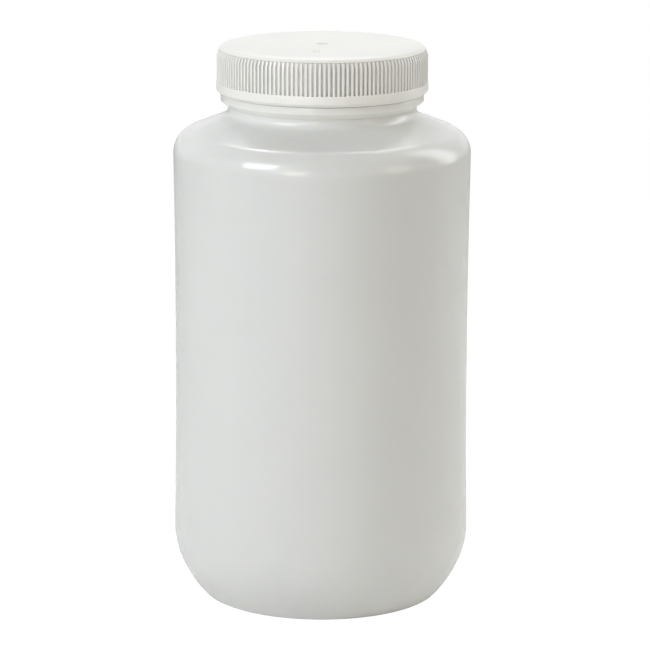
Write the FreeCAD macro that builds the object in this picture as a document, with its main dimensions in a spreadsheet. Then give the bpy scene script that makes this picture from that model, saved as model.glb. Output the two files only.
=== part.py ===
# Wide-mouth laboratory bottle of about four litres: a blown bottle, a ribbed screw cap and its liner.
# Millimetres, +Z up. The origin is on the ground at the middle of the ring that the bottle stands on.
import FreeCAD, Part
import math
import os
import Sketcher

doc = FreeCAD.newDocument("WideMouthBottle")

# Driving sizes: lengths in millimetres, angles in degrees. "height" is above the ground.
SIZES = [
    # Blown body, outside
    ("barrel_radius", 75.4, "largest radius, where the heel meets the barrel"),
    ("barrel_taper", 0.2, "how much less it is where the barrel meets the shoulder"),
    ("barrel_height", 193.6, "from the heel to the shoulder"),
    ("waist_depth", 0.87, "how far the barrel is drawn in at mid height"),
    ("heel_height", 34.5, "where the heel meets the barrel"),
    ("heel_radius", 43.0, "upper arc of the heel"),
    ("heel_angle", 23.0, "sweep of that arc; a flatter one runs on to the foot"),
    ("foot_inset", 15.1, "from the barrel in to the ring that the bottle stands on"),
    ("foot_width", 5.0, "width of that ring"),
    ("dish_slope", 9.3, "width of the slope from the ring up to the flat middle of the base"),
    ("push_up", 4.0, "how far the middle of the base is raised"),
    ("shoulder_radius", 13.0, "round of the shoulder"),
    ("cone_angle", 22.0, "slope of the shoulder's cone"),
    # Blown body, walls
    ("wall", 1.5, "barrel, heel and shoulder"),
    ("base_wall", 2.0, "base"),
    ("neck_wall", 3.0, "neck, under the thread"),
    ("pinch_margin", 4.0, "flat left at each end of the seam where the mould pinched the tube"),
    ("pinch_width", 1.0, "width of that seam"),
    ("pinch_depth", 0.5, "how far it stands out of the base"),
    # Neck
    ("neck_undercut", 0.75, "how much narrower the neck is under the bead than between the turns"),
    ("neck_round", 4.5, "round between the cone and the neck"),
    ("neck_straight", 1.02, "straight part of the neck under the bead"),
    ("bead_slope", 3.1, "height of the slope under the bead"),
    ("bead_height", 3.5, "height of the bead"),
    ("bead_stand", 1.4, "how far it stands out beyond the thread"),
    ("bead_bevel", 0.6, "bevel round the bead's upper edge"),
    ("rim_bevel", 0.8, "bevels of the rim's two edges"),
    # Thread: one start, right-handed
    ("thread_radius", 49.8, "top of the neck's thread"),
    ("thread_depth", 1.5, "how far it stands out of the neck"),
    ("thread_pitch", 5.08, "rise in one turn"),
    ("thread_turns", 2.25, "turns of each thread"),
    ("thread_base", 2.6, "width of the neck's thread at its root"),
    ("thread_crest", 1.0, "width of the neck's thread at its crest"),
    ("thread_rise", 6.0, "from the bead to the middle of the lowest turn"),
    ("rim_room", 3.57, "from the middle of the highest turn to the rim"),
    ("thread_bite", 0.4, "how deep a thread is rooted in its wall"),
    ("thread_lead", 7.0, "length over which each end of a thread rises out of its wall"),
    ("cap_thread_crest", 0.9, "width of the cap's thread at its crest"),
    ("crest_gap", 0.45, "neck's root to cap's crest"),
    ("root_gap", 0.5, "neck's crest to cap's root"),
    ("thread_play", 0.35, "along the axis, between the flanks"),
    # Liner
    ("liner_thickness", 1.2, "disc between the rim and the cap"),
    ("liner_gap", 0.3, "round the disc"),
    # Cap
    ("panel_thickness", 2.4, "top of the cap"),
    ("seat_gap", 1.0, "neck to the liner's seat, on the radius"),
    ("seat_depth", 1.8, "how far the seat reaches below the rim"),
    ("lip_gap", 0.3, "bead to the cap's lip"),
    ("lip_chamfer", 1.5, "slope under the cap's lip"),
    ("skirt_wall", 2.8, "from the root of the cap's thread out to the crests of the ribs"),
    ("band_stand", 0.24, "how far the plain band round the foot of the cap stands out beyond them"),
    ("band_width", 5.6, "height of that band"),
    ("flute_count", 144, "grooves between the ribs"),
    ("flute_depth", 0.95, "depth of a groove"),
    ("flute_width", 1.3, "width of a groove at the crests"),
    ("flute_floor", 0.35, "width of a groove at its floor"),
    ("runout_drop", 5.3, "from the cap's top to where its side leans in and the grooves run out"),
    ("runout_margin", 0.1, "how much further the side leans in than the grooves are deep"),
    ("corner_drop", 2.64, "from the cap's top to the start of its round corner"),
    ("corner_radius", 3.4, "round corner"),
    ("corner_slope", 22.0, "slope where the corner ends"),
    ("edge_slope", 3.66, "width of the slope from the corner up to the flat of the cap's top"),
    ("gate_radius", 3.4, "shallow dish at the moulding gate"),
    ("gate_depth", 0.4, "depth of that dish"),
    ("mark_x", -4.1, "small raised ring on the cap, sideways"),
    ("mark_y", -29.7, "small raised ring on the cap, towards the front"),
    ("mark_radius", 2.8, "outside of that ring"),
    ("mark_width", 0.8, "width of that ring"),
    ("mark_dot", 0.6, "radius of the dot in it"),
    ("mark_height", 0.5, "how far they stand up"),
]

# Worked-out sizes, each a formula of the ones above.
WORKED = [
    # Heel: the lower arc runs on smoothly from the upper one and ends at the foot
    ("foot_radius", "barrel_radius - foot_inset"),
    ("heel_joint_radius", "barrel_radius - heel_radius * (1 - cos(heel_angle))"),
    ("heel_joint_height", "heel_height - heel_radius * sin(heel_angle)"),
    ("foot_arc_reach", "heel_joint_radius - foot_radius"),
    ("foot_arc_radius", "(foot_arc_reach ^ 2 + heel_joint_height ^ 2)"
     " / (2 * (cos(heel_angle) * foot_arc_reach - sin(heel_angle) * heel_joint_height))"),
    ("foot_inner_radius", "foot_radius - foot_width"),
    ("dish_radius", "foot_inner_radius - dish_slope"),
    ("pinch_length", "2 * (dish_radius - pinch_margin)"),
    ("waist_radius", "barrel_height ^ 2 / (8 * waist_depth) + waist_depth / 2"),
    # Radii of the neck, all from its thread
    ("thread_root_radius", "thread_radius - thread_depth"),
    ("neck_radius", "thread_root_radius - neck_undercut"),
    ("bead_radius", "thread_radius + bead_stand"),
    # Shoulder: the round ends where its slope is the cone's, and the neck's round starts there
    ("barrel_top_radius", "barrel_radius - barrel_taper"),
    ("shoulder_height", "heel_height + barrel_height"),
    ("shoulder_end_radius", "barrel_top_radius - shoulder_radius * (1 - sin(cone_angle))"),
    ("shoulder_end_height", "shoulder_height + shoulder_radius * cos(cone_angle)"),
    ("neck_low_height", "shoulder_end_height + (neck_round"
     " + sin(cone_angle) * (shoulder_end_radius - neck_radius - neck_round)) / cos(cone_angle)"),
    ("cone_end_radius", "neck_radius + neck_round * (1 - sin(cone_angle))"),
    ("cone_end_height", "neck_low_height - neck_round * cos(cone_angle)"),
    ("bead_foot_height", "neck_low_height + neck_straight"),
    ("bead_low_height", "bead_foot_height + bead_slope"),
    ("bead_top_height", "bead_low_height + bead_height"),
    ("thread_low", "bead_top_height + thread_rise"),
    ("rim_height", "thread_low + thread_pitch * thread_turns + rim_room"),
    # The same line inside, one wall in
    ("bore_radius", "thread_root_radius - neck_wall"),
    ("throat_round", "neck_round + wall"),
    ("throat_height", "shoulder_end_height + (neck_round"
     " + sin(cone_angle) * (shoulder_end_radius - bore_radius - throat_round)) / cos(cone_angle)"),
    ("throat_end_radius", "bore_radius + throat_round * (1 - sin(cone_angle))"),
    ("throat_end_height", "throat_height - throat_round * cos(cone_angle)"),
    ("shoulder_inner_round", "shoulder_radius - wall"),
    ("shoulder_inner_radius", "barrel_top_radius - shoulder_radius + shoulder_inner_round * sin(cone_angle)"),
    ("shoulder_inner_height", "shoulder_height + shoulder_inner_round * cos(cone_angle)"),
    ("barrel_inner_top", "barrel_top_radius - wall"),
    ("barrel_inner_foot", "barrel_radius - wall"),
    ("heel_inner_round", "heel_radius - wall"),
    ("heel_inner_radius", "barrel_radius - heel_radius + heel_inner_round * cos(heel_angle)"),
    ("heel_inner_height", "heel_height - heel_inner_round * sin(heel_angle)"),
    ("foot_inner_round", "foot_arc_radius - wall"),
    ("foot_arc_rise", "heel_joint_height + foot_arc_radius * sin(heel_angle) - base_wall"),
    ("floor_radius", "heel_joint_radius - foot_arc_radius * cos(heel_angle)"
     " + sqrt(foot_inner_round ^ 2 - foot_arc_rise ^ 2)"),
    ("floor_middle_height", "push_up + base_wall"),
    # Threads: both have the same flanks, and the cap's turns hang below the neck's
    ("flank_run", "(thread_base - thread_crest) / 2 / thread_depth"),
    ("cap_root_radius", "thread_radius + root_gap"),
    ("cap_crest_radius", "thread_root_radius + crest_gap"),
    ("cap_thread_base", "cap_thread_crest + 2 * flank_run * (cap_root_radius - cap_crest_radius)"),
    ("cap_thread_drop", "(thread_crest + cap_thread_crest) / 2"
     " + flank_run * (thread_radius - cap_crest_radius) + thread_play"),
    ("cap_thread_low", "thread_low - cap_thread_drop"),
    # Cap and liner, stacked on the rim
    ("panel_height", "rim_height + liner_thickness"),
    ("cap_top_height", "panel_height + panel_thickness"),
    ("seat_radius", "thread_root_radius + seat_gap"),
    ("seat_height", "rim_height - seat_depth"),
    ("liner_radius", "seat_radius - liner_gap"),
    ("rib_radius", "cap_root_radius + skirt_wall"),
    ("band_radius", "rib_radius + band_stand"),
    ("lip_height", "bead_top_height + lip_gap"),
    ("lip_radius", "band_radius - lip_chamfer"),
    ("lip_top_height", "lip_height + lip_chamfer"),
    ("band_top_height", "lip_height + band_width"),
    ("flute_radius", "rib_radius - flute_depth"),
    ("flute_mouth_radius", "(rib_radius + band_radius) / 2"),
    ("flute_spread", "(flute_width - flute_floor) / flute_depth"),
    ("flute_mouth", "flute_width + flute_spread * (flute_mouth_radius - rib_radius)"),
    ("runout_height", "cap_top_height - runout_drop"),
    ("corner_height", "cap_top_height - corner_drop"),
    ("corner_start_radius", "flute_radius - runout_margin"),
    ("corner_lean", "atan((rib_radius - corner_start_radius) / (corner_height - runout_height))"),
    ("corner_middle_radius", "corner_start_radius - corner_radius * cos(corner_lean)"),
    ("corner_middle_height", "corner_height - corner_radius * sin(corner_lean)"),
    ("corner_end_radius", "corner_middle_radius + corner_radius * sin(corner_slope)"),
    ("corner_end_height", "corner_middle_height + corner_radius * cos(corner_slope)"),
    ("plateau_radius", "corner_end_radius - edge_slope"),
]


def fill_sheets():
    """Put the driving sizes and the worked-out ones in two sheets, each cell named."""
    sizes = doc.addObject("Spreadsheet::Sheet", "Sizes")
    for row, (name, value, note) in enumerate(SIZES, start=1):
        sizes.set(f"A{row}", name)
        sizes.set(f"B{row}", str(value))
        sizes.setAlias(f"B{row}", name)
        sizes.set(f"C{row}", note)
    doc.recompute()
    worked = doc.addObject("Spreadsheet::Sheet", "Worked")
    for row, (name, formula) in enumerate(WORKED, start=1):
        worked.set(f"A{row}", name)
        worked.setAlias(f"B{row}", name)
        worked.set(f"B{row}", "=" + cell_formula(formula))
    doc.recompute()
    return sizes


def cell_formula(formula):
    """The same formula with each driving size's name led by its sheet's name."""
    driving = {name for name, _, _ in SIZES}
    worked = {name for name, _ in WORKED}
    out = []
    word = ""
    for sign in formula + " ":
        if sign.isalnum() or sign == "_":
            word += sign
            continue
        if word in driving:
            word = "Sizes." + word
        elif word in worked:
            word = "Worked." + word
        out.append(word + sign)
        word = ""
    return "".join(out).strip()


sheet = fill_sheets()


def value(formula):
    """A formula's value in millimetres or degrees."""
    return float(sheet.evalExpression(cell_formula(formula)))


def plane(body, role):
    """One of a body's own origin planes."""
    return next(item for item in body.Origin.OriginFeatures if item.Role == role)


def new_body(label):
    body = doc.addObject("PartDesign::Body", label)
    body.Label = label
    body.Placement = FreeCAD.Placement()
    return body


def new_sketch(body, name, role, height=None, angle=None):
    """A sketch on one of the body's planes, raised and turned by formulas where they are given."""
    sketch = body.newObject("Sketcher::SketchObject", name)
    sketch.AttachmentSupport = (plane(body, role), [""])
    sketch.MapMode = "FlatFace"
    if height:
        sketch.setExpression("AttachmentOffset.Base.z", cell_formula(height))
    if angle:
        sketch.setExpression("AttachmentOffset.Rotation.Angle", cell_formula(angle))
    doc.recompute()
    return sketch


def bind(sketch, label, formula, *constraint):
    """Add a dimension to a sketch and tie it to a formula."""
    index = sketch.addConstraint(Sketcher.Constraint(*constraint, value(formula)))
    sketch.renameConstraint(index, label)
    sketch.setExpression(f"Constraints.{label}", cell_formula(formula))


def pin_point(sketch, label, edge, end, across, along):
    """Place one end of an edge by its two distances from the sketch's origin."""
    for kind, axis, formula in (("DistanceX", -2, across), ("DistanceY", -1, along)):
        if formula == "0":
            sketch.addConstraint(Sketcher.Constraint("PointOnObject", edge, end, axis))
        else:
            bind(sketch, label + kind[-1], formula, kind, -1, 1, edge, end)


def arc_between(start, end, radius, turn):
    """The short arc from start to end: turn is 1 for one that bends left, -1 for right."""
    chord = end - start
    middle = start + chord * 0.5
    left = FreeCAD.Vector(-chord.y, chord.x, 0).normalize()
    centre = middle + left * (turn * math.sqrt(radius ** 2 - chord.Length ** 2 / 4))
    circle = Part.Circle(centre, FreeCAD.Vector(0, 0, 1), radius)
    first, last = (start, end) if turn > 0 else (end, start)
    spokes = first - centre, last - centre
    return Part.ArcOfCircle(circle, *(math.atan2(spoke.y, spoke.x) for spoke in spokes))


def outline(sketch, corners):
    """Draw a closed outline. Each corner is (across, along), and where the edge that leaves it
    is an arc, also its radius and 1 or -1 for one that bends left or right."""
    points = [FreeCAD.Vector(value(corner[0]), value(corner[1]), 0) for corner in corners]
    edges = []
    for number, corner in enumerate(corners):
        start, end = points[number], points[(number + 1) % len(points)]
        if len(corner) == 2:
            edges.append((sketch.addGeometry(Part.LineSegment(start, end), False), 1, 2))
            continue
        radius, turn = corner[2:]
        edge = sketch.addGeometry(arc_between(start, end, value(radius), turn), False)
        edges.append((edge, 1, 2) if turn > 0 else (edge, 2, 1))
    for number, (edge, first, last) in enumerate(edges):
        before, _, before_last = edges[number - 1]
        sketch.addConstraint(Sketcher.Constraint("Coincident", before, before_last, edge, first))
        corner = corners[number]
        pin_point(sketch, f"corner{number}", edge, first, *corner[:2])
        if len(corner) > 2:
            bind(sketch, f"arc{number}", corner[2], "Radius", edge)


def circle(sketch, label, across, along, radius):
    """Draw a full circle about a point."""
    centre = FreeCAD.Vector(value(across), value(along), 0)
    edge = sketch.addGeometry(Part.Circle(centre, FreeCAD.Vector(0, 0, 1), value(radius)), False)
    pin_point(sketch, label, edge, 3, across, along)
    bind(sketch, label + "Radius", radius, "Radius", edge)


def feature(body, kind, name, sketch, **formulas):
    """A PartDesign feature on a sketch, with its lengths and angles tied to formulas."""
    item = body.newObject(f"PartDesign::{kind}", name)
    item.Profile = sketch
    for length, formula in formulas.items():
        setattr(item, length, value(formula))
        item.setExpression(length, cell_formula(formula))
    return item


def revolve(body, name, sketch):
    item = feature(body, "Revolution", name, sketch)
    item.ReferenceAxis = (sketch, ["V_Axis"])
    item.Angle = 360
    doc.recompute()
    return item


def thread(body, name, wall_radius, crest_radius, middle, base, crest, side):
    """Wind one ridge round the axis. side is 1 where it stands out of its wall, -1 where it
    stands in from it. Its foot is sunk in the wall by the named bite."""
    sketch = new_sketch(body, name + "Section", "XZ_Plane")
    foot = f"{wall_radius} - thread_bite" if side > 0 else f"{wall_radius} + thread_bite"
    corners = [
        (foot, f"{middle} - {base} / 2"),
        (wall_radius, f"{middle} - {base} / 2"),
        (crest_radius, f"{middle} - {crest} / 2"),
        (crest_radius, f"{middle} + {crest} / 2"),
        (wall_radius, f"{middle} + {base} / 2"),
        (foot, f"{middle} + {base} / 2"),
    ]
    outline(sketch, corners[::side])
    item = feature(body, "AdditiveHelix", name, sketch, Pitch="thread_pitch", Turns="thread_turns")
    item.Mode = "pitch-turns-angle"
    item.ReferenceAxis = (sketch, ["V_Axis"])
    doc.recompute()
    ease_end(body, name + "Start", wall_radius, crest_radius, middle, "0", side, 1)
    ease_end(body, name + "End", wall_radius, crest_radius, middle, "thread_turns", side, -1)


def ease_end(body, name, wall_radius, crest_radius, middle, turns, side, ahead):
    """Slope one end of a ridge down into its wall. The end lies a number of turns round, and
    ahead is 1 where the ridge runs on from it to the left, -1 where it comes from there."""
    low = f"{middle} + thread_pitch * {turns} - thread_base"
    sketch = new_sketch(body, name + "Section", "XY_Plane", low, f"360 * {turns}")
    sweep = f"(thread_lead / {crest_radius} * 180 / pi)"
    far = f"{ahead} * {crest_radius} * sin{sweep}"
    near = f"{-ahead} * thread_bite"
    clear = f"{crest_radius} + {side} * thread_base / 2"
    outline(sketch, [
        (wall_radius, near),
        (f"{crest_radius} * cos{sweep}", far),
        (clear, far),
        (clear, near),
    ])
    cut = feature(body, "Pocket", name, sketch, Length="2 * thread_base")
    cut.Reversed = True
    doc.recompute()


def make_bottle():
    body = new_body("bottle")
    section = new_sketch(body, "BottleSection", "XZ_Plane")
    outline(section, [
        ("0", "push_up"),
        ("dish_radius", "push_up"),
        ("foot_inner_radius", "0"),
        ("foot_radius", "0", "foot_arc_radius", 1),
        ("heel_joint_radius", "heel_joint_height", "heel_radius", 1),
        ("barrel_radius", "heel_height", "waist_radius", -1),
        ("barrel_top_radius", "shoulder_height", "shoulder_radius", 1),
        ("shoulder_end_radius", "shoulder_end_height"),
        ("cone_end_radius", "cone_end_height", "neck_round", -1),
        ("neck_radius", "neck_low_height"),
        ("neck_radius", "bead_foot_height"),
        ("bead_radius", "bead_low_height"),
        ("bead_radius", "bead_top_height - bead_bevel"),
        ("bead_radius - bead_bevel", "bead_top_height"),
        ("thread_root_radius", "bead_top_height"),
        ("thread_root_radius", "rim_height - rim_bevel"),
        ("thread_root_radius - rim_bevel", "rim_height"),
        ("bore_radius + rim_bevel", "rim_height"),
        ("bore_radius", "rim_height - rim_bevel"),
        ("bore_radius", "throat_height", "throat_round", 1),
        ("throat_end_radius", "throat_end_height"),
        ("shoulder_inner_radius", "shoulder_inner_height", "shoulder_inner_round", -1),
        ("barrel_inner_top", "shoulder_height", "waist_radius", 1),
        ("barrel_inner_foot", "heel_height", "heel_inner_round", -1),
        ("heel_inner_radius", "heel_inner_height", "foot_inner_round", -1),
        ("floor_radius", "base_wall"),
        ("foot_inner_radius", "base_wall"),
        ("dish_radius", "floor_middle_height"),
        ("0", "floor_middle_height"),
    ])
    revolve(body, "BlownWall", section)
    seam = new_sketch(body, "PinchSection", "XZ_Plane")
    outline(seam, [
        ("-pinch_length / 2", "push_up - pinch_depth"),
        ("pinch_length / 2", "push_up - pinch_depth"),
        ("pinch_length / 2", "push_up + base_wall / 2"),
        ("-pinch_length / 2", "push_up + base_wall / 2"),
    ])
    ridge = feature(body, "Pad", "PinchSeam", seam, Length="pinch_width")
    ridge.Midplane = True
    doc.recompute()
    thread(body, "NeckThread", "thread_root_radius", "thread_radius", "thread_low",
           "thread_base", "thread_crest", 1)
    return body


def make_cap():
    body = new_body("screw_cap")
    section = new_sketch(body, "CapSection", "XZ_Plane")
    outline(section, [
        ("cap_root_radius", "lip_height"),
        ("lip_radius", "lip_height"),
        ("band_radius", "lip_top_height"),
        ("band_radius", "band_top_height"),
        ("rib_radius", "band_top_height"),
        ("rib_radius", "runout_height"),
        ("corner_start_radius", "corner_height", "corner_radius", 1),
        ("corner_end_radius", "corner_end_height"),
        ("plateau_radius", "cap_top_height"),
        ("0", "cap_top_height"),
        ("0", "panel_height"),
        ("seat_radius", "panel_height"),
        ("seat_radius", "seat_height"),
        ("cap_root_radius", "seat_height"),
    ])
    revolve(body, "CapWall", section)
    gate = new_sketch(body, "GateSection", "XY_Plane", "cap_top_height")
    circle(gate, "gate", "0", "0", "gate_radius")
    feature(body, "Pocket", "GateDish", gate, Length="gate_depth")
    doc.recompute()
    mark = new_sketch(body, "MarkSection", "XY_Plane", "cap_top_height")
    circle(mark, "outside", "mark_x", "mark_y", "mark_radius")
    circle(mark, "inside", "mark_x", "mark_y", "mark_radius - mark_width")
    circle(mark, "dot", "mark_x", "mark_y", "mark_dot")
    feature(body, "Pad", "RaisedMark", mark, Length="mark_height")
    doc.recompute()
    thread(body, "CapThread", "cap_root_radius", "cap_crest_radius", "cap_thread_low",
           "cap_thread_base", "cap_thread_crest", -1)
    flute = new_sketch(body, "FluteSection", "XY_Plane", "band_top_height")
    outline(flute, [
        ("flute_radius", "-flute_floor / 2"),
        ("flute_mouth_radius", "-flute_mouth / 2"),
        ("flute_mouth_radius", "flute_mouth / 2"),
        ("flute_radius", "flute_floor / 2"),
    ])
    cut = feature(body, "Pocket", "Flute", flute, Length="cap_top_height - band_top_height")
    cut.Reversed = True
    doc.recompute()
    ring = body.newObject("PartDesign::PolarPattern", "Flutes")
    ring.Originals = [cut]
    ring.Axis = (flute, ["N_Axis"])
    ring.Angle = 360
    ring.Occurrences = int(value("flute_count"))
    ring.setExpression("Occurrences", "Sizes.flute_count")
    body.Tip = ring
    doc.recompute()
    return body


def make_liner():
    body = new_body("cap_liner")
    disc = new_sketch(body, "LinerSection", "XY_Plane", "rim_height")
    circle(disc, "disc", "0", "0", "liner_radius")
    feature(body, "Pad", "LinerDisc", disc, Length="liner_thickness")
    doc.recompute()
    return body


def check(bodies):
    """Stop if anything in the document failed or a piece is not one sound solid."""
    for item in doc.Objects:
        if "Invalid" in item.State or "Error" in item.State:
            raise RuntimeError(f"{item.Name} is {item.State}")
    for body in bodies:
        shape = body.Shape
        if shape.isNull() or not shape.isValid() or len(shape.Solids) != 1:
            raise RuntimeError(f"{body.Label} is not one sound solid")


pieces = [make_bottle(), make_cap(), make_liner()]
doc.recompute()
check(pieces)
os.makedirs("parts", exist_ok=True)
for piece in pieces:
    piece.Shape.exportStep(f"parts/{piece.Label}.step")
    print(piece.Label, round(piece.Shape.Volume / 1000, 2), "cm3")
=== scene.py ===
import math

import bpy
from mathutils import Matrix, Vector


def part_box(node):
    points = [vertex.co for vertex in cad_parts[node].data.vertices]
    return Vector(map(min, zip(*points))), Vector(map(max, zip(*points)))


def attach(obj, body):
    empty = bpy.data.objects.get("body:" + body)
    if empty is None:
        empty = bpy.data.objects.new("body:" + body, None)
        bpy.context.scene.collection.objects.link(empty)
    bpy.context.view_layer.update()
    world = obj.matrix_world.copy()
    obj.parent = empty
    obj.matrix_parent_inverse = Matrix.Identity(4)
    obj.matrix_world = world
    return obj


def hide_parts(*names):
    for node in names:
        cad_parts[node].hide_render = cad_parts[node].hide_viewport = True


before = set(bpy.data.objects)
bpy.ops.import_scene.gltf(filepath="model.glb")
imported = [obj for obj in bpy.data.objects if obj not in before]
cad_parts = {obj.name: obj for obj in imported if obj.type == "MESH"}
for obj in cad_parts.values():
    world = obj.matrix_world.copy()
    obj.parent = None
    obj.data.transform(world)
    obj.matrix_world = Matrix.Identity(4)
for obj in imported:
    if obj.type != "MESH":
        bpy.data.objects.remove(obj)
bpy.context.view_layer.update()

MM = 0.001
COLUMNS = 256

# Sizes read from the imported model
bottle_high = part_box("bottle")[1]
cap_low, cap_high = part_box("screw_cap")
liner_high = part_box("cap_liner")[1]
BARREL_RADIUS = bottle_high.x
RIM_HEIGHT = bottle_high.z
BAND_RADIUS = cap_high.x
LIP_HEIGHT = cap_low.z
PANEL_HEIGHT = liner_high.z

# Blown body
BARREL_TAPER = 0.2 * MM
BARREL_HEIGHT = 193.6 * MM
WAIST_DEPTH = 0.87 * MM
HEEL_HEIGHT = 34.5 * MM
HEEL_RADIUS = 43 * MM
HEEL_DEGREES = 23
FOOT_INSET = 15.1 * MM
FOOT_WIDTH = 5 * MM
FOOT_ROUND = 1.6 * MM
DISH_SLOPE = 9.3 * MM
PUSH_UP = 4 * MM
SHOULDER_RADIUS = 13 * MM
CONE_DEGREES = 22
WALL = 1.5 * MM
BASE_WALL = 2 * MM
NECK_WALL = 3 * MM
INNER_FOOT_ROUND = 2 * MM
DISH_ROUND = 3 * MM
PINCH_LENGTH = 84 * MM
PINCH_WIDTH = 1 * MM
PINCH_DEPTH = 0.5 * MM
PINCH_DRAFT = 0.25 * MM
PINCH_END_DRAFT = 1 * MM
SUNK = 0.2 * MM

# Neck and thread, down from the rim
THREAD_RADIUS = 49.8 * MM
THREAD_DEPTH = 1.5 * MM
THREAD_PITCH = 5.08 * MM
THREAD_TURNS = 2.25
THREAD_BASE = 2.6 * MM
THREAD_CREST = 1.0 * MM
THREAD_RISE = 6 * MM
THREAD_LEAD = 7 * MM
RIM_ROOM = 3.57 * MM
RIM_ROUND = 0.8 * MM
NECK_UNDERCUT = 0.75 * MM
NECK_ROUND = 4.5 * MM
BEAD_SLOPE = 3.1 * MM
BEAD_HEIGHT = 3.5 * MM
BEAD_STAND = 1.4 * MM
BEAD_ROUND = 0.4 * MM
BEAD_LOW_ROUND = 0.5 * MM
BEAD_TOP_FILLET = 0.4 * MM
PLAIN_OVER_BEAD = 1 * MM
PLAIN_UNDER_RIM = 1.5 * MM
RIM_DEPTH = 3 * MM
NECK_ROWS = 88
ROOT_RADIUS = THREAD_RADIUS - THREAD_DEPTH
NECK_RADIUS = ROOT_RADIUS - NECK_UNDERCUT
BEAD_RADIUS = THREAD_RADIUS + BEAD_STAND
BORE_RADIUS = ROOT_RADIUS - NECK_WALL
THREAD_LOW = RIM_HEIGHT - RIM_ROOM - THREAD_PITCH * THREAD_TURNS
BEAD_TOP = THREAD_LOW - THREAD_RISE

# Cap
CREST_GAP = 0.45 * MM
ROOT_GAP = 0.5 * MM
CAP_THREAD_CREST = 0.9 * MM
THREAD_PLAY = 0.35 * MM
CAP_TOP = PANEL_HEIGHT + 2.4 * MM
SEAT_RADIUS = ROOT_RADIUS + 1.0 * MM
SEAT_HEIGHT = RIM_HEIGHT - 1.8 * MM
SEAT_ROUND = 0.2 * MM
PANEL_ROUND = 0.3 * MM
SKIRT_ROWS = 60
LIP_CHAMFER = 1.5 * MM
LIP_ROUND = 0.1 * MM
PLAIN_OVER_LIP = 1 * MM
BAND_WIDTH = 5.6 * MM
BAND_STAND = 0.24 * MM
BAND_TOP_ROUND = 0.12 * MM
BAND_LOW_ROUND = 0.5 * MM
RIB_RADIUS = BAND_RADIUS - BAND_STAND
RIB_COUNT = 144
FLUTE_DEPTH = 0.95 * MM
FLUTE_WIDTH = 1.3 * MM
FLUTE_FLOOR = 0.9 * MM
GROOVE_DEPTH = 2.1 * MM
GROOVE_EASE = 0.35
GROOVE_FOOT = 0.3 * MM
# Places of a rib's columns across it, in mm from the middle of a groove
RIB_COLUMNS = (0, 0.17, 0.33, 0.5, 0.64, 0.84, 1.16, -0.84, -0.64, -0.5, -0.33, -0.17)
RUNOUT_DROP = 5.3 * MM
CORNER_DROP = 2.64 * MM
CORNER_INSET = 0.1 * MM
CORNER_RADIUS = 3.4 * MM
CORNER_DEGREES = 22
EDGE_SLOPE = 3.66 * MM
EDGE_ROUND = 6 * MM
GATE_RADIUS = 3.4 * MM
GATE_DEPTH = 0.4 * MM
GATE_SLOPE = 0.5 * MM
GATE_LOW_ROUND = 0.4 * MM
GATE_TOP_ROUND = 0.3 * MM
MARK_PLACE = Vector((-4.1 * MM, -29.7 * MM, 0))
MARK_RADIUS = 2.8 * MM
MARK_WIDTH = 0.8 * MM
MARK_DOT = 0.6 * MM
MARK_HEIGHT = 0.5 * MM
MARK_SUNK = 0.1 * MM
MARK_ROUND = 0.2 * MM
# Painted shade in the gate's dish, and the grey of the mark's dot: their share, the dish's inset and their
# colour
DISH_SHADE_AND_DOT_SHARE = 0.5
DISH_SHADE_INSET = 0.3 * MM
DISH_SHADE_AND_DOT_COLOUR = (0.42, 0.42, 0.41, 1)

# Light: azimuth 0 is the camera's side, and the power is in watts
#        name    azimuth elevation distance size   power colour
LAMPS = (
    ("left", -50, 28, 1.7, (0.8, 0.7), 5.3, (0.96, 0.99, 1.0)),
    ("front", -20, 10, 1.8, (0.6, 0.6), 2.2, (1.0, 0.96, 0.92)),
    ("fill", 60, 15, 1.6, (0.5, 0.7), 1.25, (1.0, 0.86, 0.66)),
    ("side", 112, 26, 1.35, (0.5, 1.3), 2.9, (0.95, 0.98, 1.0)),
    ("top", 180, 60, 1.6, (1.2, 0.8), 4.0, (1.0, 1.0, 1.0)),
    ("back", -150, 61, 1.3, (0.20, 0.20), 0.2, (1.0, 1.0, 1.0)),
)
LAMP_AIM = Vector((0, 0, 0.15))
GRID_DEGREES = 110
FLOOR_HALF = 6.0
WORLD_COLOUR = (1.0, 0.97, 0.84, 1)
WORLD_STRENGTH = 0.19
BACKGROUND = 1.0
# Strength of the white that shows for the floor, its share there, and in a mirror
WHITE = 1.085
WHITE_SHARE = 0.90
MIRRORED_SHARE = 0.20

# Camera, as fitted to the photograph's outline
CAMERA_PLACE = (1.8 * MM, -1687 * MM, 522 * MM)
CAMERA_DOWN_DEGREES = 12.81
CAMERA_ROLL_DEGREES = 0.22
LENS = 187.4
SENSOR = 36.0


def arc(start, end, radius, turn, steps):
    """Points after start up to end on the short arc: turn is 1 where it bends left, -1 right."""
    start, end = Vector(start), Vector(end)
    chord = end - start
    left = Vector((-chord.y, chord.x)).normalized()
    centre = start + chord / 2 + left * turn * math.sqrt(radius ** 2 - chord.length ** 2 / 4)
    first = math.atan2(start.y - centre.y, start.x - centre.x)
    sweep = 2 * math.asin(chord.length / 2 / radius) * turn
    angles = [first + sweep * step / steps for step in range(1, steps)]
    points = [(centre.x + radius * math.cos(a), centre.y + radius * math.sin(a)) for a in angles]
    return points + [(end.x, end.y)]


def rounded(corners, steps=4):
    """A line through corners, each (across, along, radius of its round, or 0 for none)."""
    points = []
    for number, (across, along, radius) in enumerate(corners):
        here = Vector((across, along))
        if not radius or number in (0, len(corners) - 1):
            points.append((here.x, here.y))
            continue
        back = (Vector(corners[number - 1][:2]) - here).normalized()
        on = (Vector(corners[number + 1][:2]) - here).normalized()
        half = back.angle(on) / 2
        reach = radius / math.tan(half)
        turn = 1 if back.x * on.y - back.y * on.x < 0 else -1
        start, end = here + back * reach, here + on * reach
        points.append((start.x, start.y))
        points += arc(start, end, radius, turn, steps)
    return points


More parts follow.
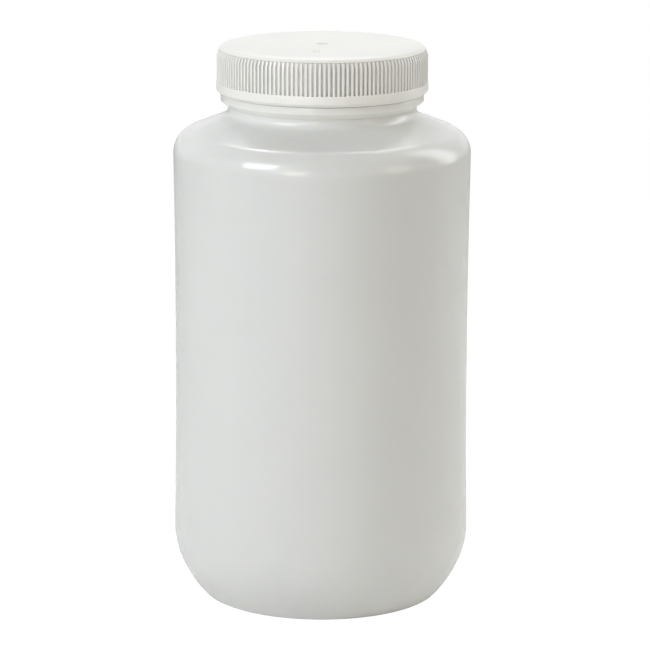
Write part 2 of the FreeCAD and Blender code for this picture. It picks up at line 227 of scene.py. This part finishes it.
def divided(start, end, steps):
    """Points after start up to end on a straight line."""
    return [(start[0] + (end[0] - start[0]) * step / steps,
             start[1] + (end[1] - start[1]) * step / steps) for step in range(1, steps + 1)]


def smooth(value):
    value = min(max(value, 0), 1)
    return value * value * (3 - 2 * value)


def ridge(angle, height, middle, base, crest, lead):
    """How much of a thread stands at a place on its wall, 0 to 1. angle runs from 0 to a full turn."""
    most = 0
    for lap in range(math.ceil(THREAD_TURNS)):
        turns = angle / math.tau + lap
        if turns > THREAD_TURNS:
            break
        away = abs(height - middle - THREAD_PITCH * turns)
        ease = min(turns, THREAD_TURNS - turns) * math.tau / lead
        most = max(most, smooth((base / 2 - away) / (base - crest) * 2) * smooth(ease))
    return most


def lathe(name, rings):
    """One closed mesh from rings of points. A ring is a list of points, or one point on the axis.
    Where one ring has several times as many points as the next, each gap of the coarser is a fan."""
    verts, faces, starts = [], [], []
    for ring in rings:
        starts.append(len(verts))
        verts += ring
    for number in range(len(rings) - 1):
        low, high = starts[number], starts[number + 1]
        below, above = len(rings[number]), len(rings[number + 1])
        if below == 1 or above == 1:
            for i in range(max(below, above)):
                k = (i + 1) % max(below, above)
                faces.append((low, high + k, high + i) if below == 1 else (low + i, low + k, high))
            continue
        most = max(below, above)
        share_low, share_high = most // below, most // above
        for i in range(min(below, above)):
            span = max(share_low, share_high)
            if share_low == share_high:
                k = (i + 1) % below
                faces.append((low + i, low + k, high + k, high + i))
                continue
            if below > above:
                edge = [low + (i * span + j) % below for j in range(span + 1)]
                faces.append(tuple(edge) + (high + (i + 1) % above, high + i))
            else:
                edge = [high + (i * span + j) % above for j in range(span, -1, -1)]
                faces.append((low + i, low + (i + 1) % below) + tuple(edge))
    mesh = bpy.data.meshes.new(name)
    mesh.from_pydata(verts, [], faces)
    mesh.validate()
    mesh.update()
    piece = bpy.data.objects.new(name, mesh)
    bpy.context.scene.collection.objects.link(piece)
    return piece


def ring(across, height, columns=COLUMNS, shape=None):
    """One ring of points. shape, if given, turns an angle into the ring's own radius there."""
    if across == 0:
        return [(0, 0, height)]
    angles = [math.tau * step / columns for step in range(columns)]
    radii = [shape(angle) if shape else across for angle in angles]
    return [(r * math.cos(a), r * math.sin(a), height) for r, a in zip(radii, angles)]


def shade_smooth(piece, sharp_degrees=None):
    for face in piece.data.polygons:
        face.use_smooth = True
    if sharp_degrees:
        piece.data.set_sharp_from_angle(angle=math.radians(sharp_degrees))


def bottle_outline():
    """The bottle's half section from under the base, up the outside, over the rim and down inside.
    The neck's threaded stretch is left out between the two parts."""
    foot = BARREL_RADIUS - FOOT_INSET
    top = BARREL_RADIUS - BARREL_TAPER
    sin_heel, cos_heel = math.sin(math.radians(HEEL_DEGREES)), math.cos(math.radians(HEEL_DEGREES))
    joint = (BARREL_RADIUS - HEEL_RADIUS * (1 - cos_heel), HEEL_HEIGHT - HEEL_RADIUS * sin_heel)
    reach = joint[0] - foot
    foot_arc = (reach ** 2 + joint[1] ** 2) / (2 * (cos_heel * reach - sin_heel * joint[1]))
    waist = BARREL_HEIGHT ** 2 / (8 * WAIST_DEPTH) + WAIST_DEPTH / 2
    shoulder = HEEL_HEIGHT + BARREL_HEIGHT
    sin_cone, cos_cone = math.sin(math.radians(CONE_DEGREES)), math.cos(math.radians(CONE_DEGREES))
    shoulder_end = (top - SHOULDER_RADIUS * (1 - sin_cone), shoulder + SHOULDER_RADIUS * cos_cone)

    def neck_start(radius, fillet):
        """Where the cone's line meets a neck of that radius: end of the cone, start of the neck."""
        low = shoulder_end[1] + (NECK_ROUND + sin_cone * (shoulder_end[0] - radius - fillet)) / cos_cone
        return (radius + fillet * (1 - sin_cone), low - fillet * cos_cone), (radius, low)

    cone_end, neck_low = neck_start(NECK_RADIUS, NECK_ROUND)
    foot_arc_points = arc((foot, 0), joint, foot_arc, 1, 18)
    base = rounded([
        (0, PUSH_UP, 0),
        (foot - FOOT_WIDTH - DISH_SLOPE, PUSH_UP, DISH_ROUND),
        (foot - FOOT_WIDTH, 0, FOOT_ROUND),
        (foot, 0, FOOT_ROUND),
        (*foot_arc_points[2], 0),
    ], 6)
    outside = base + foot_arc_points[3:]
    outside += arc(joint, (BARREL_RADIUS, HEEL_HEIGHT), HEEL_RADIUS, 1, 14)
    outside += arc((BARREL_RADIUS, HEEL_HEIGHT), (top, shoulder), waist, -1, 40)
    outside += arc((top, shoulder), shoulder_end, SHOULDER_RADIUS, 1, 20)
    outside += divided(shoulder_end, cone_end, 6)
    outside += arc(cone_end, neck_low, NECK_ROUND, -1, 10)
    bead_low = BEAD_TOP - BEAD_HEIGHT
    outside += rounded([
        (*neck_low, 0),
        (NECK_RADIUS, bead_low - BEAD_SLOPE, BEAD_LOW_ROUND),
        (BEAD_RADIUS, bead_low, BEAD_LOW_ROUND),
        (BEAD_RADIUS, BEAD_TOP, BEAD_ROUND),
        (ROOT_RADIUS, BEAD_TOP, BEAD_TOP_FILLET),
        (ROOT_RADIUS, BEAD_TOP + PLAIN_OVER_BEAD, 0),
    ])[1:]

    throat_end, throat = neck_start(BORE_RADIUS, NECK_ROUND + WALL)
    inner_round = SHOULDER_RADIUS - WALL
    inner_shoulder = (top - SHOULDER_RADIUS + inner_round * sin_cone, shoulder + inner_round * cos_cone)
    inner_heel = HEEL_RADIUS - WALL
    inner_joint = (BARREL_RADIUS - HEEL_RADIUS + inner_heel * cos_heel, HEEL_HEIGHT - inner_heel * sin_heel)
    inner_foot = foot_arc - WALL
    rise = joint[1] + foot_arc * sin_heel - BASE_WALL
    floor_edge = joint[0] - foot_arc * cos_heel + math.sqrt(inner_foot ** 2 - rise ** 2)
    inside = rounded([
        (ROOT_RADIUS, RIM_HEIGHT - PLAIN_UNDER_RIM, 0),
        (ROOT_RADIUS, RIM_HEIGHT, RIM_ROUND),
        (BORE_RADIUS, RIM_HEIGHT, RIM_ROUND),
        (BORE_RADIUS, RIM_HEIGHT - RIM_DEPTH, 0),
    ], 6)
    inside += divided(inside[-1], throat, 8)
    inside += arc(throat, throat_end, NECK_ROUND + WALL, 1, 10)
    inside += divided(throat_end, inner_shoulder, 4)
    inside += arc(inner_shoulder, (top - WALL, shoulder), inner_round, -1, 14)
    inside += arc((top - WALL, shoulder), (BARREL_RADIUS - WALL, HEEL_HEIGHT), waist, 1, 24)
    inside += arc((BARREL_RADIUS - WALL, HEEL_HEIGHT), inner_joint, inner_heel, -1, 12)
    inside += arc(inner_joint, (floor_edge, BASE_WALL), inner_foot, -1, 14)
    inside += rounded([
        (floor_edge, BASE_WALL, 0),
        (foot - FOOT_WIDTH, BASE_WALL, INNER_FOOT_ROUND),
        (foot - FOOT_WIDTH - DISH_SLOPE, PUSH_UP + BASE_WALL, DISH_ROUND),
        (0, PUSH_UP + BASE_WALL, 0),
    ])[1:]
    return outside, inside


def make_bottle():
    """The blown bottle: body, bead, neck with its thread, rim and inside, in one closed surface."""
    outside, inside = bottle_outline()
    low, high = outside[-1][1], inside[0][1]
    lead = THREAD_LEAD / THREAD_RADIUS
    rings = [ring(*point) for point in outside]
    for row in range(1, NECK_ROWS):
        height = low + (high - low) * row / NECK_ROWS
        rings.append(ring(ROOT_RADIUS, height, shape=lambda angle: ROOT_RADIUS + THREAD_DEPTH * ridge(
            angle, height, THREAD_LOW, THREAD_BASE, THREAD_CREST, lead)))
    rings += [ring(*point) for point in inside]
    bottle = lathe("blown_bottle", rings)
    shade_smooth(bottle)
    return bottle


def make_seam():
    """The bar that the mould's pinch leaves under the base."""
    verts = []
    for height, draft in ((PUSH_UP + SUNK, 0), (PUSH_UP, 0), (PUSH_UP - PINCH_DEPTH, 1)):
        along = PINCH_LENGTH / 2 - PINCH_END_DRAFT * draft
        across = PINCH_WIDTH / 2 - PINCH_DRAFT * draft
        verts += [(x * along, y * across, height) for x, y in ((-1, -1), (1, -1), (1, 1), (-1, 1))]
    faces = [(0, 1, 2, 3), (11, 10, 9, 8)]
    for start in (0, 4):
        for i in range(4):
            k = (i + 1) % 4
            faces.append((start + 4 + i, start + 4 + k, start + k, start + i))
    mesh = bpy.data.meshes.new("pinch_seam")
    mesh.from_pydata(verts, [], faces)
    mesh.validate()
    mesh.update()
    seam = bpy.data.objects.new("pinch_seam", mesh)
    bpy.context.scene.collection.objects.link(seam)
    return seam


def flute(angle, across):
    """A rib's or groove's radius at an angle, for a wall of a given radius."""
    pitch = math.tau / RIB_COUNT
    off = abs((angle + pitch / 2) % pitch - pitch / 2) * RIB_RADIUS
    floor, mouth = FLUTE_FLOOR / 2, FLUTE_WIDTH / 2
    share = min(max((off - floor) / (mouth - floor), 0), 1)
    depth = GROOVE_DEPTH * (1 - smooth(share) * GROOVE_EASE - share * (1 - GROOVE_EASE))
    return min(across, RIB_RADIUS - depth)


def make_cap():
    """The moulded cap: ribbed skirt, band, lip, inner thread and top, in one closed surface."""
    pitch = math.tau / RIB_COUNT
    half_pitch = pitch * RIB_RADIUS / 2
    fine = []
    for rib in range(RIB_COUNT):
        for offset in RIB_COLUMNS:
            share = offset * MM / RIB_RADIUS if abs(offset * MM) < half_pitch else pitch / 2
            fine.append(pitch * rib + (share if offset >= 0 else pitch + share))

    def fine_ring(across, height):
        radii = [flute(angle, across) for angle in fine]
        return [(r * math.cos(a), r * math.sin(a), height) for r, a in zip(radii, fine)]

    columns = RIB_COUNT * 2
    band_top = LIP_HEIGHT + BAND_WIDTH
    runout = CAP_TOP - RUNOUT_DROP
    corner = CAP_TOP - CORNER_DROP
    start = (RIB_RADIUS - FLUTE_DEPTH - CORNER_INSET, corner)
    lean = math.atan((RIB_RADIUS - start[0]) / (corner - runout))
    middle = (start[0] - CORNER_RADIUS * math.cos(lean), corner - CORNER_RADIUS * math.sin(lean))
    end_angle = math.radians(CORNER_DEGREES)
    end = (middle[0] + CORNER_RADIUS * math.sin(end_angle), middle[1] + CORNER_RADIUS * math.cos(end_angle))
    plateau = end[0] - EDGE_SLOPE

    # Top, from the gate's dish out to the edge, then down the round corner
    top = rounded([
        (0, CAP_TOP - GATE_DEPTH, 0),
        (GATE_RADIUS - GATE_SLOPE, CAP_TOP - GATE_DEPTH, GATE_LOW_ROUND),
        (GATE_RADIUS, CAP_TOP, GATE_TOP_ROUND),
        (plateau, CAP_TOP, EDGE_ROUND),
        (*end, 0),
    ], 6)
    top += arc(end, start, CORNER_RADIUS, -1, 10)[:-1]
    rings = [ring(*point, columns) for point in top]
    # Ribs, from the run-out down to the band
    rings += [fine_ring(*point) for point in [start] + divided(start, (RIB_RADIUS, runout), 9)]
    for point in divided((RIB_RADIUS, runout), (RIB_RADIUS, band_top + GROOVE_FOOT), 6):
        rings.append(fine_ring(*point))
    rings.append(fine_ring(RIB_RADIUS, band_top))
    # Band and lip
    root = THREAD_RADIUS + ROOT_GAP
    outer = rounded([
        (RIB_RADIUS, band_top, 0),
        (BAND_RADIUS, band_top, BAND_TOP_ROUND),
        (BAND_RADIUS, LIP_HEIGHT + LIP_CHAMFER, BAND_LOW_ROUND),
        (BAND_RADIUS - LIP_CHAMFER, LIP_HEIGHT, LIP_ROUND),
        (root, LIP_HEIGHT, LIP_ROUND),
        (root, LIP_HEIGHT + PLAIN_OVER_LIP, 0),
    ])[1:]
    rings += [ring(*point, columns) for point in outer]
    # Inside wall with its thread, which hangs below the neck's
    depth = THREAD_DEPTH + ROOT_GAP - CREST_GAP
    flank = (THREAD_BASE - THREAD_CREST) / 2 / THREAD_DEPTH
    base = CAP_THREAD_CREST + 2 * flank * depth
    drop = (THREAD_CREST + CAP_THREAD_CREST) / 2 + flank * (THREAD_DEPTH - CREST_GAP) + THREAD_PLAY
    middle_height = THREAD_LOW - drop
    low, high = outer[-1][1], SEAT_HEIGHT
    for row in range(1, SKIRT_ROWS):
        height = low + (high - low) * row / SKIRT_ROWS
        rings.append(ring(root, height, columns, lambda angle: root - depth * ridge(
            angle, height, middle_height, base, CAP_THREAD_CREST, THREAD_LEAD / root)))
    under = rounded([
        (root, SEAT_HEIGHT, 0),
        (SEAT_RADIUS, SEAT_HEIGHT, SEAT_ROUND),
        (SEAT_RADIUS, PANEL_HEIGHT, PANEL_ROUND),
        (0, PANEL_HEIGHT, 0),
    ])
    rings += [ring(*point, columns) for point in under]
    rings.reverse()
    cap = lathe("moulded_cap", rings)
    shade_smooth(cap, 50)
    return cap


def make_mark():
    """The small raised ring and dot on the cap's top."""
    base = CAP_TOP - MARK_SUNK
    top = CAP_TOP + MARK_HEIGHT
    inner = MARK_RADIUS - MARK_WIDTH
    ring_line = rounded([
        (inner, base, 0),
        (inner, top, MARK_ROUND),
        (MARK_RADIUS, top, MARK_ROUND),
        (MARK_RADIUS, base, 0),
    ])
    dot_line = rounded([(0, base, 0), (MARK_DOT, base, 0), (MARK_DOT, top, MARK_ROUND), (0, top, 0)])
    pieces = []
    for name, line, closed in (("mark_ring", ring_line, True), ("mark_dot", dot_line, False)):
        rings = [ring(*point, 32) for point in line]
        if closed:
            rings.append(rings[0])
        pieces.append(lathe(name, rings))
    for piece in pieces:
        piece.location = MARK_PLACE
        shade_smooth(piece, 50)
    return pieces


def joined(pieces):
    """The pieces as one object, under the first one's name."""
    bpy.ops.object.select_all(action="DESELECT")
    for piece in pieces:
        piece.select_set(True)
    bpy.context.view_layer.objects.active = pieces[0]
    bpy.ops.object.join()
    return pieces[0]


class Shader:
    """A material's nodes, with its Principled shader."""

    def __init__(self, name):
        self.material = bpy.data.materials.new(name)
        self.material.use_nodes = True
        self.nodes = self.material.node_tree.nodes
        self.links = self.material.node_tree.links
        self.shader = self.nodes["Principled BSDF"]
        self.place = self.nodes.new("ShaderNodeTexCoord").outputs["Object"]

    def add(self, kind, **settings):
        """A new node. Its inputs are set by name or number, or linked where an output is given."""
        node = self.nodes.new("ShaderNode" + kind)
        inputs = settings.pop("inputs", {})
        for key, value in settings.items():
            setattr(node, key, value)
        for key, value in inputs.items():
            self.put(node.inputs[key], value)
        return node

    def put(self, socket, value):
        if isinstance(value, bpy.types.NodeSocket):
            self.links.new(value, socket)
        else:
            socket.default_value = value

    def set(self, **inputs):
        """Set the Principled shader's inputs, with underscores for the spaces in their names."""
        for key, value in inputs.items():
            self.put(self.shader.inputs[key.replace("_", " ")], value)

    def noise(self, scale, detail=2.0, stretch=(1, 1, 1)):
        place = self.add("Mapping", inputs={"Vector": self.place, "Scale": stretch}).outputs[0]
        return self.add("TexNoise", inputs={"Vector": place, "Scale": scale, "Detail": detail}).outputs[0]

    def math(self, operation, first, second=0.0, clamp=False):
        inputs = {0: first, 1: second}
        return self.add("Math", operation=operation, use_clamp=clamp, inputs=inputs).outputs[0]

    def ranged(self, value, low, high, to_low, to_high):
        inputs = {"Value": value, "From Min": low, "From Max": high, "To Min": to_low, "To Max": to_high}
        return self.add("MapRange", inputs=inputs).outputs[0]

    def mixed(self, share, first, second):
        node = self.add("Mix", data_type="RGBA")
        self.put(node.inputs[0], share)
        self.put(node.inputs[6], first)
        self.put(node.inputs[7], second)
        return node.outputs[2]

    def bump(self, height, distance, before=None):
        inputs = {"Height": height, "Distance": distance, "Strength": 1.0}
        if before is not None:
            inputs["Normal"] = before
        return self.add("Bump", inputs=inputs).outputs[0]


def bottle_plastic():
    """Natural polyethylene: milky, a little uneven, with the blown wall's soft waves and fine skin."""
    m = Shader("natural_polyethylene")
    cloud = m.noise(22, 2)
    streak = m.noise(60, 3, (1, 1, 0.06))
    share = m.ranged(m.math("ADD", cloud, streak), 0.4, 1.6, 0, 1)
    colour = m.mixed(share, (0.785, 0.795, 0.785, 1), (0.815, 0.82, 0.805, 1))
    skin = m.noise(1400, 2)
    waves = m.noise(34, 2, (1, 1, 0.5))
    normal = m.bump(waves, 0.0005)
    normal = m.bump(skin, 0.00001, normal)
    m.set(Base_Color=colour, Roughness=m.ranged(cloud, 0.3, 0.7, 0.17, 0.23), Normal=normal, IOR=1.5)
    m.set(Subsurface_Weight=1.0, Subsurface_Radius=(1.0, 0.93, 0.82), Subsurface_Scale=0.004)
    return m.material


def cap_plastic():
    """Opaque white polypropylene with a fine moulded skin."""
    m = Shader("white_polypropylene")
    cloud = m.noise(45, 2)
    colour = m.mixed(m.ranged(cloud, 0.3, 0.7, 0, 1), (0.84, 0.84, 0.83, 1), (0.87, 0.87, 0.86, 1))
    # Painted shade darkens the floor of the gate's dish, and the dot is a little greyer
    flat = m.add("VectorMath", operation="MULTIPLY", inputs={0: m.place, 1: (1, 1, 0)}).outputs[0]
    for middle, reach in (((0, 0, 0), GATE_RADIUS - DISH_SHADE_INSET), (tuple(MARK_PLACE), MARK_DOT)):
        away = m.add("VectorMath", operation="DISTANCE", inputs={0: flat, 1: middle}).outputs["Value"]
        colour = m.mixed(m.ranged(away, reach - 0.1 * MM, reach + 0.2 * MM, DISH_SHADE_AND_DOT_SHARE, 0), colour, DISH_SHADE_AND_DOT_COLOUR)
    normal = m.bump(m.noise(2500, 2), 0.00002)
    m.set(Base_Color=colour, Roughness=m.ranged(cloud, 0.3, 0.7, 0.30, 0.38), Normal=normal, IOR=1.49)
    return m.material


def liner_foam():
    """White closed-cell foam sheet."""
    m = Shader("liner_foam")
    cells = m.add("TexVoronoi", inputs={"Vector": m.place, "Scale": 1600.0}).outputs[0]
    colour = m.mixed(m.ranged(cells, 0, 0.6, 0, 1), (0.84, 0.84, 0.82, 1), (0.78, 0.78, 0.76, 1))
    m.set(Base_Color=colour, Roughness=0.7, Normal=m.bump(cells, 0.0001))
    return m.material


def dress(piece, material):
    piece.data.materials.clear()
    piece.data.materials.append(material)


def make_floor():
    """A pale floor that shows as white, and that keeps the bottle's shadow."""
    corners = [(x * FLOOR_HALF, y * FLOOR_HALF, 0) for x, y in ((-1, -1), (1, -1), (1, 1), (-1, 1))]
    mesh = bpy.data.meshes.new("floor")
    mesh.from_pydata(corners, [], [(0, 1, 2, 3)])
    floor = bpy.data.objects.new("floor", mesh)
    bpy.context.scene.collection.objects.link(floor)
    m = Shader("pale_floor")
    grain = m.noise(30, 4)
    colour = m.mixed(grain, (0.80, 0.80, 0.80, 1), (0.82, 0.82, 0.82, 1))
    m.set(Base_Color=colour, Roughness=0.9)
    white = m.add("Emission", inputs={"Color": (1, 1, 1, 1), "Strength": WHITE}).outputs[0]
    seen = m.math("MULTIPLY", seen_or_mirrored(m.nodes, m.links, MIRRORED_SHARE), WHITE_SHARE)
    mix = m.add("MixShader", inputs={0: seen, 1: m.shader.outputs[0], 2: white})
    m.links.new(mix.outputs[0], m.nodes["Material Output"].inputs["Surface"])
    dress(floor, m.material)


def seen_or_mirrored(nodes, links, mirrored=1.0):
    """1 for what the camera sees straight, and a share for a reflection or through something clear."""
    path = nodes.new("ShaderNodeLightPath")
    total = path.outputs["Is Camera Ray"]
    for kind in ("Is Glossy Ray", "Is Transmission Ray"):
        node = nodes.new("ShaderNodeMath")
        node.operation = "MULTIPLY_ADD"
        links.new(path.outputs[kind], node.inputs[0])
        node.inputs[1].default_value = mirrored
        links.new(total, node.inputs[2])
        total = node.outputs[0]
    return total


def make_world():
    """Even studio air for the light, and white where it is seen."""
    world = bpy.data.worlds.new("studio")
    bpy.context.scene.world = world
    world.use_nodes = True
    nodes, links = world.node_tree.nodes, world.node_tree.links
    air = nodes["Background"]
    air.inputs["Color"].default_value = WORLD_COLOUR
    air.inputs["Strength"].default_value = WORLD_STRENGTH
    white = nodes.new("ShaderNodeBackground")
    white.inputs["Color"].default_value = (1, 1, 1, 1)
    white.inputs["Strength"].default_value = BACKGROUND
    mix = nodes.new("ShaderNodeMixShader")
    links.new(seen_or_mirrored(nodes, links), mix.inputs[0])
    links.new(air.outputs[0], mix.inputs[1])
    links.new(white.outputs[0], mix.inputs[2])
    links.new(mix.outputs[0], nodes["World Output"].inputs["Surface"])


def soft_light(name, azimuth, elevation, distance, size, power, colour):
    """A rectangular softbox with a grid, facing the bottle's middle."""
    turn, lift = math.radians(azimuth - 90), math.radians(elevation)
    way = Vector((math.cos(lift) * math.cos(turn), math.cos(lift) * math.sin(turn), math.sin(lift)))
    data = bpy.data.lights.new(name, "AREA")
    data.shape = "RECTANGLE"
    data.size, data.size_y = size
    data.energy = power
    data.color = colour
    data.spread = math.radians(GRID_DEGREES)
    lamp = bpy.data.objects.new(name, data)
    lamp.location = LAMP_AIM + way * distance
    lamp.rotation_euler = way.to_track_quat("Z", "Y").to_euler()
    bpy.context.scene.collection.objects.link(lamp)


def make_camera():
    data = bpy.data.cameras.new("camera")
    data.lens = LENS
    data.sensor_width = SENSOR
    camera = bpy.data.objects.new("camera", data)
    camera.location = CAMERA_PLACE
    down = Matrix.Rotation(math.radians(90 - CAMERA_DOWN_DEGREES), 3, "X")
    roll = Matrix.Rotation(math.radians(CAMERA_ROLL_DEGREES), 3, "Z")
    camera.rotation_euler = (down @ roll).to_euler()
    bpy.context.scene.collection.objects.link(camera)
    bpy.context.scene.camera = camera


bottle = joined([make_bottle(), make_seam()])
dress(bottle, bottle_plastic())
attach(bottle, "bottle_body")
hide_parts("bottle")

cap = joined([make_cap()] + make_mark())
dress(cap, cap_plastic())
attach(cap, "cap_body")
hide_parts("screw_cap")

dress(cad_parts["cap_liner"], liner_foam())

make_floor()
make_world()
for lamp_values in LAMPS:
    soft_light(*lamp_values)
make_camera()
bpy.context.scene.view_settings.view_transform = "Standard"
